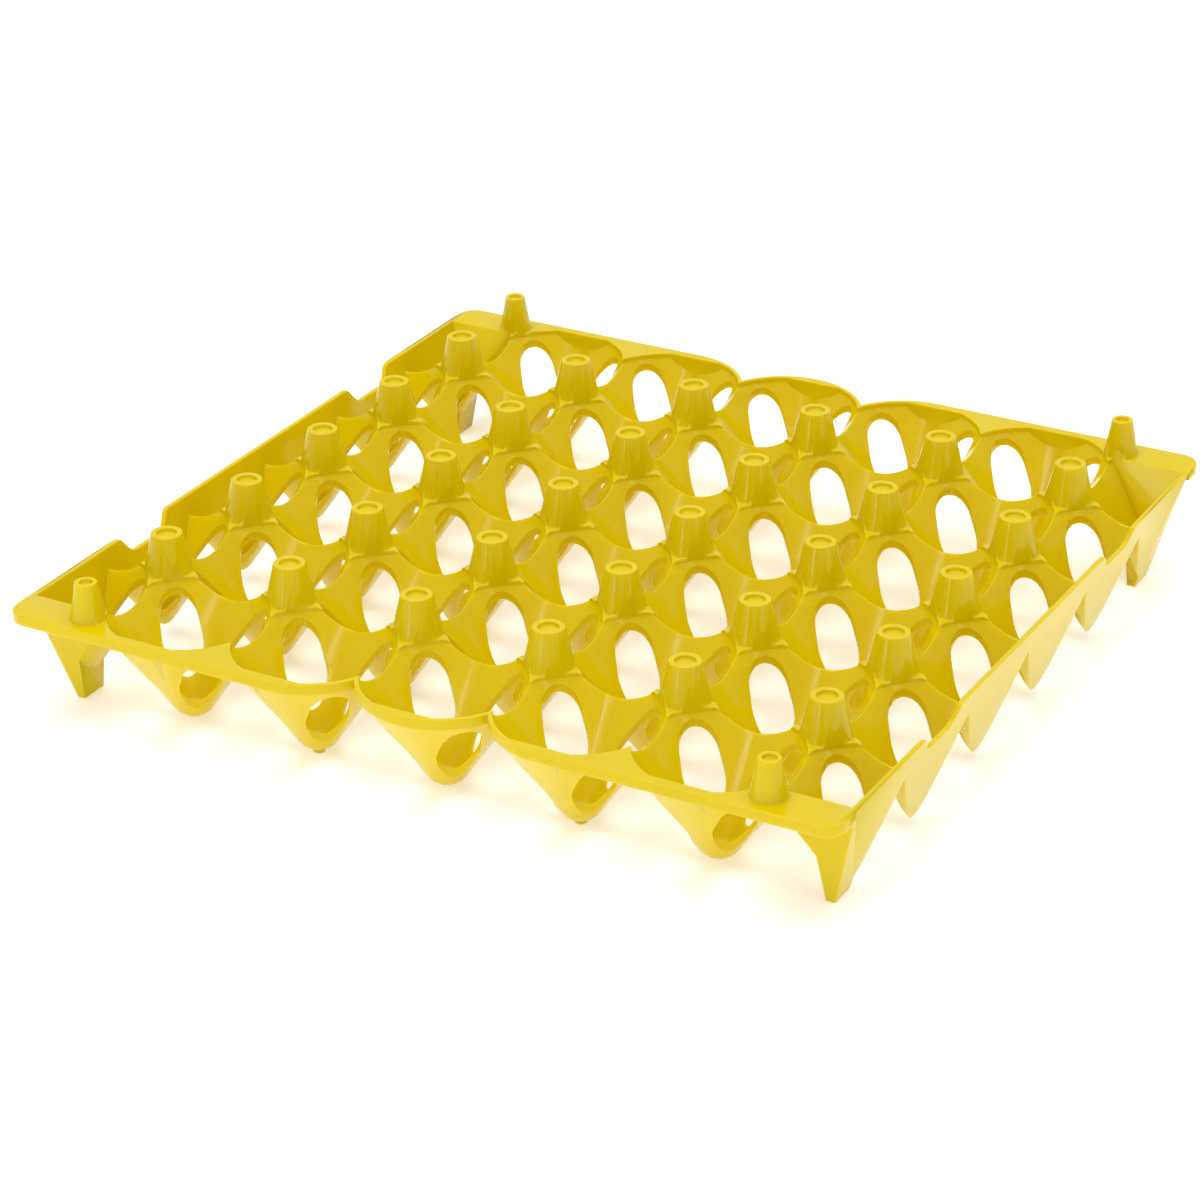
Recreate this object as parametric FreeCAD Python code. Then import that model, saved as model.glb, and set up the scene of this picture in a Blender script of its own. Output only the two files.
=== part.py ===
import FreeCAD, Part
import os
import math

# Egg tray for thirty eggs, injection moulded in one piece.
# Millimetres. X runs along the five-cell side, Y along the six-cell side,
# +Z is up, and the floor is Z = 0 under the feet.

# Layout
columns = 5                 # cells along X
rows = 6                    # cells along Y
columnPitch = 48.6          # centre to centre along X
rowPitch = 47.5             # centre to centre along Y

# Heights above the floor
postHeight = 52.2           # tops of the posts
rimHeight = 39.1            # top of the flange
hillHeight = 38.8           # top of the hills that carry the posts
cupFloor = 1.4              # underside of the cups, just clear of the floor

# Walls
wall = 1.8                  # thickness of cups, hills, flange and side walls
lipDepth = 3.8              # height of the turned-down edge of the flange

# Cups
cupSlope = 0.685            # radius gained for each millimetre of height
cupBallRadius = 6.3         # inside radius of the rounded bottom
cupMouthRadius = 26.7       # inside radius at the hills

# Edges of the tray
sideMargin = 28.9           # last row of posts to the outer edge, along X
endMargin = 28.3            # last cell centres to the outer edge, along Y
scallopSpare = 4.0          # radius of the end scallops, beyond half a column pitch
endRim = 3.8                # narrowest part of the flange at the ends
cornerShelf = 14.7          # flange between a corner pocket and the end of the tray
sideDraft = 0.267           # lean of the side walls, sideways for each millimetre of height
endDraft = 0.222            # lean of the corner pockets' end walls
cellEndDraft = 0.1          # lean of the flat ends of the end cups
cornerRadius = 7.0          # corners of the flange

# Windows through the cup walls, open straight up and down
windowLength = 17.0         # along the cup's diagonal
windowRadius = 6.9          # rounding of the wide end
windowBand = 1.0            # wall left between the tip of a window and the mouth of its cup
windowTipRadius = 6.5       # rounding of the narrow end

# Notches in the tops of the side walls, at the second cell from each end
notchCell = 1
notchDepth = 6.2
notchWidth = 22.5
notchRadius = 5.0

# Posts on the hills
postTopRadius = 5.3
postBaseRadius = 8.6
postWall = 1.5
dimpleRadius = 3.4
dimpleDepth = 1.2

# Corner posts, which stand on the flange
cornerPostTopRadius = 3.7
cornerPostBaseRadius = 6.3
cornerDimpleRadius = 2.2
cornerPostX = 1.9           # further out than the last hill posts
cornerPostY = 18.8          # further out than the last cell centres

# Feet
footWidth = 3.0             # sole of a corner foot, along X
footLength = 10.5           # along the side wall
footDraft = 0.1             # lean of a foot's inner face
footHeight = 18.0           # where a foot is lost in the pocket's wall
nubRadius = 2.0             # pegs under two cups of each end row
nubColumn = 1

# Places worked out from the sizes above
halfColumns = (columns - 1) * columnPitch / 2
halfRows = (rows - 1) * rowPitch / 2
postsX = halfColumns + columnPitch / 2
pocketX = postsX + columnPitch / 2
edgeX = postsX + sideMargin
edgeY = halfRows + endMargin
columnAt = [-halfColumns + a * columnPitch for a in range(columns)]
rowAt = [-halfRows + b * rowPitch for b in range(rows)]
far = 2 * (edgeX + edgeY)
skin = wall * 1.05          # wall thickness measured level, through a drafted wall


def vec(x, y, z=0.0):
    return FreeCAD.Vector(x, y, z)


def box(x0, x1, y0, y1, z0, z1):
    return Part.makeBox(x1 - x0, y1 - y0, z1 - z0, vec(x0, y0, z0))


def loop(points):
    """Flat face from its corners."""
    return Part.Face(Part.makePolygon(points + points[:1]))


def moved(shape, x, y, z=0.0):
    copy = shape.copy()
    copy.translate(vec(x, y, z))
    return copy


def cup(ballRadius, mouthRadius, top):
    """Cone with a ball end, upright above its mouth, standing on the Z axis."""
    angle = math.atan(cupSlope)
    ballHeight = cupFloor + wall + cupBallRadius
    apex = ballHeight - ballRadius / math.sin(angle)
    tangent = vec(ballRadius * math.cos(angle), 0, ballHeight - ballRadius * math.sin(angle))
    low = vec(0, 0, ballHeight - ballRadius)
    half = (math.pi / 2 - angle) / 2
    middle = vec(ballRadius * math.sin(half), 0, ballHeight - ballRadius * math.cos(half))
    mouth = vec(mouthRadius, 0, apex + mouthRadius / cupSlope)
    rest = [tangent, mouth, vec(mouthRadius, 0, top), vec(0, 0, top), low]
    edges = [Part.Arc(low, middle, tangent).toShape()]
    edges += [Part.makeLine(a, b) for a, b in zip(rest, rest[1:])]
    return Part.Face(Part.Wire(edges)).revolve(vec(0, 0), vec(0, 0, 1), 360)


def windowPrism(reach, angle):
    """One window as a tall prism: egg-shaped, its wide end near the cup axis at 0, 0."""
    nearCentre = reach - windowLength + windowRadius
    tipCentre = reach - windowTipRadius
    lean = math.acos((windowRadius - windowTipRadius) / (tipCentre - nearCentre))
    corners = []
    for centre, radius in ((nearCentre, windowRadius), (tipCentre, windowTipRadius)):
        for side in (1, -1):
            corners.append(vec(centre + radius * math.cos(lean), side * radius * math.sin(lean)))
    near = Part.Arc(corners[0], vec(nearCentre - windowRadius, 0), corners[1]).toShape()
    tip = Part.Arc(corners[3], vec(reach, 0), corners[2]).toShape()
    outline = Part.Wire([near, Part.makeLine(corners[1], corners[3]), tip,
                         Part.makeLine(corners[2], corners[0])])
    prism = Part.Face(outline).extrude(vec(0, 0, hillHeight))
    prism.rotate(vec(0, 0), vec(0, 0, 1), math.degrees(angle))
    return prism


def trayPlan():
    """Outline of the tray: straight edges, and scallops round the middle cups of each end."""
    k = cornerRadius * (1 - math.sqrt(0.5))
    r = cornerRadius
    inner = columnAt[1:-1]
    radius = columnPitch / 2 + scallopSpare
    low = edgeY - radius
    valley = low + math.sqrt(radius ** 2 - (columnPitch / 2) ** 2)
    turn = math.asin(columnPitch / 2 / radius) / 2
    edges = [Part.Arc(vec(-edgeX, edgeY - r), vec(-edgeX + k, edgeY - k),
                      vec(-edgeX + r, edgeY)).toShape(),
             Part.makeLine(vec(-edgeX + r, edgeY), vec(inner[0], edgeY))]
    for left, right in zip(inner, inner[1:]):
        dip = vec((left + right) / 2, valley)
        for centre, side, ends in ((left, 1, (vec(left, edgeY), dip)),
                                   (right, -1, (dip, vec(right, edgeY)))):
            bulge = vec(centre + side * radius * math.sin(turn), low + radius * math.cos(turn))
            edges.append(Part.Arc(ends[0], bulge, ends[1]).toShape())
    edges += [Part.makeLine(vec(inner[-1], edgeY), vec(edgeX - r, edgeY)),
              Part.Arc(vec(edgeX - r, edgeY), vec(edgeX - k, edgeY - k),
                       vec(edgeX, edgeY - r)).toShape(),
              Part.makeLine(vec(edgeX, edgeY - r), vec(edgeX, -edgeY + r))]
    other = [edge.copy() for edge in edges]
    for edge in other:
        edge.rotate(vec(0, 0), vec(0, 0, 1), 180)
    return Part.Face(Part.Wire(edges + other))


def slab(plan, bottom, top):
    return moved(plan, 0, 0, bottom).extrude(vec(0, 0, top - bottom))


def withinSide(inset):
    """Space inside the +X wall face that meets the rim's top this far from the tray's edge."""
    top = edgeX - inset
    low = top - sideDraft * rimHeight
    face = loop([vec(-far, -far, 0), vec(low, -far, 0), vec(top, -far, rimHeight),
                 vec(-far, -far, rimHeight)])
    return face.extrude(vec(0, 2 * far, 0))


def withinEnd(inset, draft):
    """Space inside a +Y wall face that meets the rim's top this far from the tray's edge."""
    top = edgeY - inset
    low = top - draft * rimHeight
    face = loop([vec(-far, -far, 0), vec(-far, low, 0), vec(-far, top, rimHeight),
                 vec(-far, -far, rimHeight)])
    return face.extrude(vec(2 * far, 0, 0))


def mirrored(shape, acrossX, acrossY):
    """Copies of a +X+Y shape in the quarters that it doesn't already fill."""
    copies = [shape]
    if acrossX:
        copies.append(shape.mirror(vec(0, 0), vec(1, 0, 0)))
    if acrossY:
        copies += [copy.mirror(vec(0, 0), vec(0, 1, 0)) for copy in copies]
    return copies


# Flange: a plate round the tray with its edge turned down, flush with the side walls
plan = trayPlan()
flange = slab(plan, rimHeight - lipDepth, rimHeight)
flange = flange.cut(slab(plan.makeOffset2D(-wall), rimHeight - lipDepth, rimHeight - wall))
flange = flange.cut(box(-pocketX, pocketX, -halfRows, halfRows, 0, rimHeight))
wallEnd = edgeY - cornerShelf + skin
besideWall = box(pocketX, far, -wallEnd, wallEnd, 0, rimHeight).cut(withinSide(0))
flange = flange.cut(mirrored(besideWall, True, False))

# Hills: the level plate that the cups cut into separate hills
hills = box(-pocketX, pocketX, -halfRows, halfRows, hillHeight - wall, hillHeight)

cupCut = cup(cupBallRadius, cupMouthRadius, postHeight)
cupBody = cup(cupBallRadius + wall, cupMouthRadius + wall, rimHeight)
belowTop = box(-pocketX, pocketX, -halfRows, halfRows, 0, hillHeight).fuse([
    box(-far, far, halfRows, far, 0, rimHeight), box(pocketX, far, -far, halfRows, 0, rimHeight)])


def tile(x, y):
    """The cell at x, y of the +X+Y quarter: its cup and its share of hills and flange."""
    pocket = x > postsX
    last = y > halfRows - 1
    x0, x1 = (postsX, edgeX) if pocket else (x - columnPitch / 2, x + columnPitch / 2)
    y0, y1 = y - rowPitch / 2, edgeY if last else y + rowPitch / 2
    space = box(x0, x1, y0, y1, 0, rimHeight)
    body = moved(cupBody, x, y)
    cut = moved(cupCut, x, y)
    if pocket:
        body = body.common(withinSide(0))
        cut = cut.common(withinSide(skin))
    if pocket and last:
        body = body.common(withinEnd(cornerShelf - skin, endDraft))
        cut = cut.common(withinEnd(cornerShelf, endDraft))
    elif last:
        body = body.common(slab(plan, 0, rimHeight))
        cut = cut.common(withinEnd(endRim, cellEndDraft))
    if pocket and last:
        body = body.fuse(foot())
    shape = body.common(belowTop).fuse([hills, flange]).common(space).cut(cut)
    for side in (-1, 1):
        for end in (-1, 1):
            if pocket and (side > 0 or last and end > 0):
                continue
            angle = math.atan2(end * rowPitch, side * columnPitch)
            shape = shape.cut(moved(windowPrism(cupMouthRadius - windowBand, angle), x, y))
    return shape


def cone(lowRadius, highRadius, bottom, top):
    return Part.makeCone(lowRadius, highRadius, top - bottom, vec(0, 0, bottom))


def postBody(baseRadius, topRadius, dimple, bottom):
    recess = Part.makeCylinder(dimple, dimpleDepth, vec(0, 0, postHeight - dimpleDepth))
    return cone(baseRadius, topRadius, bottom, postHeight).cut(recess)


def postHollow(lowRadius, topRadius, bottom):
    """The hollow under a post, open below the plate that carries it."""
    return cone(lowRadius, topRadius - postWall, bottom, postHeight - dimpleDepth - postWall)


def foot():
    """Foot of the +X+Y corner pocket: a bar along the side wall, with its sole on the floor."""
    x = edgeX - sideDraft * rimHeight - footWidth
    y = wallEnd - endDraft * rimHeight
    profile = loop([vec(x, y - footLength), vec(edgeX, y - footLength),
                    vec(edgeX, y - footLength, footHeight),
                    vec(x - footDraft * footHeight, y - footLength, footHeight)])
    bar = profile.extrude(vec(0, 2 * footLength, 0))
    return bar.common(withinSide(0)).common(withinEnd(cornerShelf - skin, endDraft))


def notch():
    """Round-bottomed cut through the top of a side wall, centred on Y = 0."""
    w, r, low = notchWidth / 2, notchRadius, rimHeight - notchDepth
    k = r * (1 - math.sqrt(0.5))
    x = pocketX
    top = rimHeight + 1
    outline = Part.Wire([
        Part.makeLine(vec(x, -w, top), vec(x, -w, low + r)),
        Part.Arc(vec(x, -w, low + r), vec(x, -w + k, low + k), vec(x, -w + r, low)).toShape(),
        Part.makeLine(vec(x, -w + r, low), vec(x, w - r, low)),
        Part.Arc(vec(x, w - r, low), vec(x, w - k, low + k), vec(x, w, low + r)).toShape(),
        Part.makeLine(vec(x, w, low + r), vec(x, w, top)),
        Part.makeLine(vec(x, w, top), vec(x, -w, top))])
    return Part.Face(outline).extrude(vec(sideMargin, 0, 0))


# The tray: cells and pockets, then posts, notches and pegs
tiles = []
for x in [at for at in columnAt if at > -wall] + [pocketX]:
    for y in [at for at in rowAt if at > -wall]:
        tiles += mirrored(tile(x, y), x > wall, y > wall)
tray = tiles[0].fuse(tiles[1:]).removeSplitter()

# Posts: the cups and the corner pockets cut into the feet of the posts beside them
hillPlaces = [(-postsX + i * columnPitch, -halfRows + (j + 0.5) * rowPitch)
              for i in range(columns + 1) for j in range(rows - 1)]
mouth = Part.makeCylinder(cupMouthRadius, postHeight)
mouths = [moved(mouth, sx * columnPitch / 2, sy * rowPitch / 2)
          for sx in (-1, 1) for sy in (-1, 1)]
neck = math.hypot(columnPitch, rowPitch) / 2 - cupMouthRadius   # hill left between two mouths
hillSole = hillHeight - wall
rimSole = rimHeight - wall
hillPost = postBody(postBaseRadius, postTopRadius, dimpleRadius, hillSole + wall / 2).cut(mouths)
hillHollow = postHollow(min(neck, postBaseRadius) - postWall, postTopRadius, hillSole)
cornerPlace = (postsX + cornerPostX, halfRows + cornerPostY)
cornerPost = postBody(cornerPostBaseRadius, cornerPostTopRadius, cornerDimpleRadius, rimSole)
cornerPost = moved(cornerPost, *cornerPlace).cut(moved(mouth, halfColumns, halfRows))
cornerPost = cornerPost.cut(box(0, far, 0, edgeY - cornerShelf, 0, postHeight))
cornerNeck = math.hypot(cornerPlace[0] - halfColumns, cornerPostY) - cupMouthRadius
cornerFoot = min(cornerNeck, cornerPostBaseRadius)
cornerHollow = postHollow(cornerFoot - postWall, cornerPostTopRadius, rimSole)
bodies = [moved(hillPost, x, y) for x, y in hillPlaces] + mirrored(cornerPost, True, True)
hollows = [moved(hillHollow, x, y) for x, y in hillPlaces]
hollows += mirrored(moved(cornerHollow, *cornerPlace), True, True)
peg = Part.makeCylinder(nubRadius, cupFloor + wall / 2, vec(columnAt[-1 - nubColumn], rowAt[-1]))
tray = tray.fuse(bodies + mirrored(peg, True, True))
tray = tray.cut(hollows + mirrored(moved(notch(), 0, rowAt[-1 - notchCell]), True, True))
tray = tray.removeSplitter()

os.makedirs("parts", exist_ok=True)
tray.Solids[0].exportStep("parts/tray.step")
print("solids", len(tray.Solids), "volume", round(tray.Volume), "box", tray.BoundBox)
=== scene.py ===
import bmesh
import bpy
import itertools
import math
from mathutils import Matrix, Vector


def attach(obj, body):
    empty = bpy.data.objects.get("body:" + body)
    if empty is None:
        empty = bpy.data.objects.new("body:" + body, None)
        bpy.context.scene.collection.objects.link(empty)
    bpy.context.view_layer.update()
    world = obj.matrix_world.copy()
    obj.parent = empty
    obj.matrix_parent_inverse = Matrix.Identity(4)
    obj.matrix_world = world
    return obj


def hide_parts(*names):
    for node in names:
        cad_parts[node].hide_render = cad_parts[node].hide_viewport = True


# Yellow polypropylene egg tray for thirty eggs, on a pale studio floor.
# Metres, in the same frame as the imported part.

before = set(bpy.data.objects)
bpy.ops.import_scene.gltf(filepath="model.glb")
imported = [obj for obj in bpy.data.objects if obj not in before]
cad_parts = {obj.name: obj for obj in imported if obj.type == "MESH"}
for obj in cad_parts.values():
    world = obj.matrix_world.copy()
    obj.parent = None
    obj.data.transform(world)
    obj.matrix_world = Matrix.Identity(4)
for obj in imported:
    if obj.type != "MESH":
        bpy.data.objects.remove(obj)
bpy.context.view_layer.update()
print("frame loaded")

# Camera, floor and light

viewPoint = {
    "place": (0.54865, -0.99316, 0.58528),
    "turn": 29.38,         # degrees round Z, 0 looks along +Y
    "fall": 26.75,         # degrees below level
    "roll": -0.68,         # degrees
    "lens": 111.63,        # millimetres, as is the sensor
    "sensor": 36,
}


def addCamera(look):
    data = bpy.data.cameras.new("camera")
    data.lens = look["lens"]
    data.sensor_width = look["sensor"]
    camera = bpy.data.objects.new("camera", data)
    bpy.context.collection.objects.link(camera)
    turn = Matrix.Rotation(math.radians(look["turn"]), 4, "Z")
    tip = Matrix.Rotation(math.radians(90 - look["fall"]), 4, "X")
    roll = Matrix.Rotation(math.radians(look["roll"]), 4, "Z")
    camera.rotation_euler = (turn @ tip @ roll).to_euler()
    camera.location = look["place"]
    bpy.context.scene.camera = camera


studio = {
    "floorSize": 60,
    "floor": (0.94, 0.94, 0.94, 1),
    "floorRoughness": 0.9,
    "floorGlow": 0.38,     # the floor is a lit white table
    "world": (1.0, 1.0, 1.0, 1),
    "worldStrength": 0.59,
    "softboxes": (
        # name, centre, what it faces, width, height, watts
        ("leftStrip", (-0.27, -1.28, 0.70), (0, 0, 0.70), 0.05, 1.4, 3),
        ("rightStrip", (1.27, -0.34, 0.70), (0, 0, 0.70), 0.05, 1.4, 1.6),
        ("overhead", (0, 0, 1.6), (0, 0, 0), 1.5, 1.5, 18),
        ("back", (-0.75, 1.35, 0.80), (0, 0, 0), 1.7, 1.1, 1),
    ),
}


def addFloor(look):
    bpy.ops.mesh.primitive_plane_add(size=look["floorSize"], location=(0, 0, 0))
    floor = bpy.context.object
    floor.name = "floor"
    paint = bpy.data.materials.new("floorPaint")
    paint.use_nodes = True
    shader = paint.node_tree.nodes["Principled BSDF"]
    shader.inputs["Base Color"].default_value = look["floor"]
    shader.inputs["Roughness"].default_value = look["floorRoughness"]
    shader.inputs["Emission Color"].default_value = look["floor"]
    shader.inputs["Emission Strength"].default_value = look["floorGlow"]
    floor.data.materials.append(paint)


def addLights(look):
    world = bpy.data.worlds.new("studio")
    world.use_nodes = True
    back = world.node_tree.nodes["Background"]
    back.inputs["Color"].default_value = look["world"]
    back.inputs["Strength"].default_value = look["worldStrength"]
    bpy.context.scene.world = world
    for name, centre, faces, width, height, watts in look["softboxes"]:
        data = bpy.data.lights.new(name, "AREA")
        data.shape = "RECTANGLE"
        data.size = width
        data.size_y = height
        data.energy = watts
        lamp = bpy.data.objects.new(name, data)
        bpy.context.collection.objects.link(lamp)
        lamp.location = centre
        aim = Vector(faces) - Vector(centre)
        lamp.rotation_euler = aim.to_track_quat("-Z", "Y").to_euler()
        lamp.visible_camera = False


addCamera(viewPoint)
addFloor(studio)
addLights(studio)
bpy.context.scene.view_settings.view_transform = "Standard"
print("camera, floor and light set")

# Plastic: semi-gloss polypropylene, coloured through and a little translucent

plasticLook = {
    "deep": (0.660, 0.494, 0.0, 1),
    "clear": (0.705, 0.547, 0.0, 1),
    "toneScale": 24,            # patches of deep and clear colour, per metre
    "toneDetail": 3,
    "smooth": 0.11,             # roughness where the mould was polished
    "dull": 0.18,
    "flowScale": (14, 14, 60),  # flow of the melt, finer up the walls than along them
    "flowDetail": 4,
    "flowFrom": 0.3,            # smooth where the flow's noise is below this, dull above flowTo
    "flowTo": 0.7,
    "grainScale": 1400,
    "grainDetail": 2,
    "grainDepth": 0.00002,
    "refraction": 1.49,
    "specular": 0.26,
    "subsurface": 0.5,
    "bleed": (1.0, 0.7, 0.1),   # how far red, green and blue light spread inside
    "bleedScale": 0.0025,
}


def addNoise(tree, where, scale, detail):
    noise = tree.nodes.new("ShaderNodeTexNoise")
    noise.inputs["Scale"].default_value = scale
    noise.inputs["Detail"].default_value = detail
    tree.links.new(where, noise.inputs["Vector"])
    return noise.outputs["Fac"]


def makePlastic(name, look):
    paint = bpy.data.materials.new(name)
    paint.use_nodes = True
    tree = paint.node_tree
    shader = tree.nodes["Principled BSDF"]
    shader.inputs["IOR"].default_value = look["refraction"]
    shader.inputs["Specular IOR Level"].default_value = look["specular"]
    shader.inputs["Subsurface Weight"].default_value = look["subsurface"]
    shader.inputs["Subsurface Radius"].default_value = look["bleed"]
    shader.inputs["Subsurface Scale"].default_value = look["bleedScale"]
    place = tree.nodes.new("ShaderNodeTexCoord").outputs["Object"]

    tone = tree.nodes.new("ShaderNodeMix")
    tone.data_type = "RGBA"
    tone.inputs["A"].default_value = look["deep"]
    tone.inputs["B"].default_value = look["clear"]
    patches = addNoise(tree, place, look["toneScale"], look["toneDetail"])
    tree.links.new(patches, tone.inputs["Factor"])
    tree.links.new(tone.outputs["Result"], shader.inputs["Base Color"])

    flow = tree.nodes.new("ShaderNodeMapping")
    flow.inputs["Scale"].default_value = look["flowScale"]
    tree.links.new(place, flow.inputs["Vector"])
    gloss = tree.nodes.new("ShaderNodeMapRange")
    gloss.inputs["From Min"].default_value = look["flowFrom"]
    gloss.inputs["From Max"].default_value = look["flowTo"]
    gloss.inputs["To Min"].default_value = look["smooth"]
    gloss.inputs["To Max"].default_value = look["dull"]
    streaks = addNoise(tree, flow.outputs["Vector"], scale=1, detail=look["flowDetail"])
    tree.links.new(streaks, gloss.inputs["Value"])
    tree.links.new(gloss.outputs["Result"], shader.inputs["Roughness"])

    grain = tree.nodes.new("ShaderNodeBump")
    grain.inputs["Distance"].default_value = look["grainDepth"]
    specks = addNoise(tree, place, look["grainScale"], look["grainDetail"])
    tree.links.new(specks, grain.inputs["Height"])
    tree.links.new(grain.outputs["Normal"], shader.inputs["Normal"])
    return paint


# Tray: the moulding with its edges rounded

trayShape = {
    "mergeWithin": 0.0001,      # also how near its expected place a corner has to lie
    "flatWithin": 2.5,          # degrees
    "edgeRadius": 0.0003,
    "edgeSegments": 1,
    "edgeAngle": 30,            # degrees
    "tightCorner": 50,          # degrees between two edges, below which they stay sharp
    "sliver": 0.00001,          # faces thinner than this are closed up
    "normalWeight": 100,        # how far the larger faces decide the shading
}

hillShape = {
    "columnPitch": 0.0486,
    "columnShift": 0.5,         # the middle of the tray lies between two columns of posts
    "rowPitch": 0.0475,
    "top": 0.0388,
    "pointFrom": 0.0115,        # the four points of a hill lie this far from its post's axis
    "pointTo": 0.0132,
    "pointDrop": 0.0012,        # how far they dip to meet the ridges
}

notchShape = {
    "centre": 0.07125,          # from the middle of the tray, along Y
    "halfWidth": 0.01125,
    "wallFrom": 0.146,          # the side walls lie beyond this, along X
    "top": 0.0391,
    "corner": 0.0011,           # rounding of the upper corners
    "cornerSegments": 4,
    "flare": 0.0022,            # how far they lean back
    "flareFrom": 0.0345,        # height at which the lean starts
    "flareBeyond": 0.0022,      # how far beyond the notch the wall still leans
}


def selectOnly(thing):
    bpy.ops.object.select_all(action="DESELECT")
    thing.select_set(True)
    bpy.context.view_layer.objects.active = thing


# Edges to be rounded: all sharp ones but those that meet in a tight corner
def sharpEdges(mesh, look):
    least = math.radians(look["edgeAngle"])
    tight = math.radians(look["tightCorner"])
    sharp = {edge for edge in mesh.edges if edge.calc_face_angle(0) > least}
    openEnds = set()
    for vertex in mesh.verts:
        ways = [edge.other_vert(vertex).co - vertex.co
                for edge in vertex.link_edges if edge in sharp]
        if all(one.angle(other) >= tight for one, other in itertools.combinations(ways, 2)):
            openEnds.add(vertex)
    return [edge for edge in mesh.edges
            if edge in sharp and openEnds.issuperset(edge.verts)]


def fromNearestPost(place, look):
    along = place.x / look["columnPitch"] - look["columnShift"]
    across = place.y / look["rowPitch"]
    return (abs(along - round(along)) * look["columnPitch"],
            abs(across - round(across)) * look["rowPitch"])


# The four points of each hill dip, so that they run into the ridges between the cups
def easePoints(mesh, look, near):
    points = []
    for vertex in mesh.verts:
        aside, away = sorted(fromNearestPost(vertex.co, look))
        onPoint = aside < near and look["pointFrom"] < away < look["pointTo"]
        if onPoint and abs(vertex.co.z - look["top"]) < near:
            points.append(vertex)
    for vertex in points:
        vertex.co.z -= look["pointDrop"]
    print("hill points eased:", len(points))


def beyondNotch(place, look):
    return abs(abs(place.y) - look["centre"]) - look["halfWidth"]


def isNotchCorner(place, look, near):
    onWallTop = abs(place.x) > look["wallFrom"] and abs(place.z - look["top"]) < near
    return onWallTop and abs(beyondNotch(place, look)) < near


# Upper corners of the notches in the side walls: rounded, then leant back into a soft S
def easeNotches(tray, look, near):
    mesh = bmesh.from_edit_mesh(tray.data)
    for edge in mesh.edges:
        one, other = (end.co for end in edge.verts)
        acrossWall = abs(one.y - other.y) < near < abs(one.x - other.x)
        edge.select = acrossWall and all(isNotchCorner(end, look, near) for end in (one, other))
    print("notch corners eased:", sum(edge.select for edge in mesh.edges))
    bmesh.update_edit_mesh(tray.data)
    bpy.ops.mesh.bevel(offset=look["corner"], segments=look["cornerSegments"],
                       loop_slide=False)
    mesh = bmesh.from_edit_mesh(tray.data)
    within = look["halfWidth"] - look["flare"]
    for vertex in mesh.verts:
        place = vertex.co
        rise = (place.z - look["flareFrom"]) / (look["top"] - look["flareFrom"])
        beside = -within < beyondNotch(place, look) < look["flareBeyond"]
        if beside and rise > 0 and abs(place.x) > look["wallFrom"]:
            outward = math.copysign(1, abs(place.y) - look["centre"]) * math.copysign(1, place.y)
            place.y += outward * look["flare"] * rise ** 2
    bmesh.update_edit_mesh(tray.data)


def makeTray(look, hills, notches, plastic):
    near = look["mergeWithin"]
    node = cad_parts["tray"]
    tray = bpy.data.objects.new("mouldedTray", node.data.copy())
    bpy.context.collection.objects.link(tray)
    selectOnly(tray)
    bpy.ops.mesh.customdata_custom_splitnormals_clear()

    # Doubled corners joined, and the triangles of a flat area made one face
    bpy.ops.object.mode_set(mode="EDIT")
    bpy.ops.mesh.select_all(action="SELECT")
    bpy.ops.mesh.remove_doubles(threshold=near)
    bpy.ops.mesh.select_all(action="SELECT")
    bpy.ops.mesh.dissolve_limited(angle_limit=math.radians(look["flatWithin"]))
    bpy.ops.mesh.select_all(action="DESELECT")
    bpy.ops.mesh.select_mode(type="EDGE")

    easeNotches(tray, notches, near)
    bpy.ops.mesh.select_all(action="DESELECT")
    mesh = bmesh.from_edit_mesh(tray.data)
    easePoints(mesh, hills, near)
    for edge in sharpEdges(mesh, look):
        edge.select = True
    bmesh.update_edit_mesh(tray.data)
    bpy.ops.mesh.bevel(offset=look["edgeRadius"], segments=look["edgeSegments"],
                       loop_slide=False)
    bpy.ops.mesh.select_all(action="SELECT")
    bpy.ops.mesh.dissolve_degenerate(threshold=look["sliver"])
    bpy.ops.object.mode_set(mode="OBJECT")

    bpy.ops.object.shade_smooth()
    even = tray.modifiers.new("even", "WEIGHTED_NORMAL")
    even.mode = "FACE_AREA_WITH_ANGLE"
    even.weight = look["normalWeight"]
    bpy.ops.object.modifier_apply(modifier="even")
    tray.data.materials.clear()
    tray.data.materials.append(plastic)
    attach(tray, "root")
    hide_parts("tray")


makeTray(trayShape, hillShape, notchShape, makePlastic("yellowPlastic", plasticLook))
print("tray modelled")
